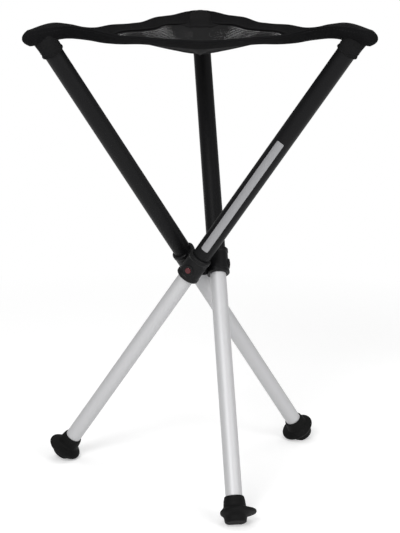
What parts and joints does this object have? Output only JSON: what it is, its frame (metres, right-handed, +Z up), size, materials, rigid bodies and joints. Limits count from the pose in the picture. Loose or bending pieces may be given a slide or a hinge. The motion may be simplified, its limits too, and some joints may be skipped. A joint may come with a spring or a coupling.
{
  "type": "tripod camping stool",
  "caption": "Folding tripod stool: crossed telescopic legs turning on a central hub, with a mesh sling seat held by pockets on the leg tops.",
  "frame": {"origin": "on the floor, under the middle of the open stool's outline", "axes": "+Z up, the seat's front edge runs along X and its third corner points to +Y"},
  "size_m": [0.4494, 0.4799, 0.6433],
  "materials": {
    "hub_plastic": "fine moulded texture, black",
    "block_plastic": "fine moulded texture, black",
    "cap_plastic": "plain moulded, black",
    "black_tube": "black satin coat on aluminium tube",
    "silver_tube": "matte clear anodised",
    "zinc_steel": "bright zinc",
    "foot_rubber": "moulded black rubber",
    "red_button": "dark red moulded",
    "seat_mesh_cloth": "black open polyester mesh",
    "patch_cloth": "black close-woven polyester",
    "binding_webbing": "black woven webbing"
  },
  "bodies": {
    "hub": {"hub_upper": "hub_plastic", "hub_lower": "hub_plastic", "hub_screw": "zinc_steel", "hub_nut": "zinc_steel", "seat_mesh": "seat_mesh_cloth", "corner_patch_a": "patch_cloth", "corner_patch_b": "patch_cloth", "corner_patch_c": "patch_cloth", "edge_binding_a": "binding_webbing", "edge_binding_b": "binding_webbing", "edge_binding_c": "binding_webbing"},
    "leg_a": {"joint_block_a": "block_plastic", "upper_tube_a": "black_tube", "top_cap_a": "cap_plastic", "seat_pocket_a": "patch_cloth"},
    "lower_leg_a": {"lower_tube_a": "silver_tube", "glide_bush_a": "cap_plastic", "catch_spring_a": "zinc_steel", "foot_a": "foot_rubber"},
    "button_a": {"release_button_a": "red_button"},
    "leg_b": {"joint_block_b": "block_plastic", "upper_tube_b": "black_tube", "top_cap_b": "cap_plastic", "seat_pocket_b": "patch_cloth"},
    "lower_leg_b": {"lower_tube_b": "silver_tube", "glide_bush_b": "cap_plastic", "catch_spring_b": "zinc_steel", "foot_b": "foot_rubber"},
    "button_b": {"release_button_b": "red_button"},
    "leg_c": {"joint_block_c": "block_plastic", "upper_tube_c": "black_tube", "top_cap_c": "cap_plastic", "seat_pocket_c": "patch_cloth"},
    "lower_leg_c": {"lower_tube_c": "silver_tube", "glide_bush_c": "cap_plastic", "catch_spring_c": "zinc_steel", "foot_c": "foot_rubber"},
    "button_c": {"release_button_c": "red_button"}
  },
  "joints": [
    {"name": "fold_a", "type": "hinge", "parent": "hub", "child": "leg_a", "pos_m": [-0.00976, -0.03999, 0.30381], "axis": [-0.4032, -0.9151, 0], "range_deg": [0, 32], "deforming": ["seat_mesh", "corner_patch_a", "corner_patch_b", "corner_patch_c", "edge_binding_a", "edge_binding_b", "edge_binding_c"]},
    {"name": "retract_a", "type": "slide", "parent": "leg_a", "child": "lower_leg_a", "axis": [0.5288, -0.233, 0.8161], "range_m": [0, 0.312]},
    {"name": "press_a", "type": "slide", "parent": "leg_a", "child": "button_a", "axis": [0.4032, 0.9151, 0], "range_m": [0, 0.0025], "stiffness_N_per_m": 400, "springref_m": -0.001},
    {"name": "fold_b", "type": "hinge", "parent": "hub", "child": "leg_b", "pos_m": [0.02406, -0.01522, 0.30381], "axis": [0.9941, 0.1084, 0], "range_deg": [0, 32]},
    {"name": "retract_b", "type": "slide", "parent": "leg_b", "child": "lower_leg_b", "axis": [-0.0626, 0.5745, 0.8161], "range_m": [0, 0.312]},
    {"name": "press_b", "type": "slide", "parent": "leg_b", "child": "button_b", "axis": [-0.9941, -0.1084, 0], "range_m": [0, 0.0025], "stiffness_N_per_m": 400, "springref_m": -0.001},
    {"name": "fold_c", "type": "hinge", "parent": "hub", "child": "leg_c", "pos_m": [-0.0143, 0.00168, 0.30381], "axis": [-0.5909, 0.8067, 0], "range_deg": [0, 32]},
    {"name": "retract_c", "type": "slide", "parent": "leg_c", "child": "lower_leg_c", "axis": [-0.4662, -0.3415, 0.8161], "range_m": [0, 0.312]},
    {"name": "press_c", "type": "slide", "parent": "leg_c", "child": "button_c", "axis": [0.5909, -0.8067, 0], "range_m": [0, 0.0025], "stiffness_N_per_m": 400, "springref_m": -0.001}
  ],
  "couplings": [
    {"joint": "fold_b", "follows": "fold_a", "ratio": 1},
    {"joint": "fold_c", "follows": "fold_a", "ratio": 1}
  ]
}
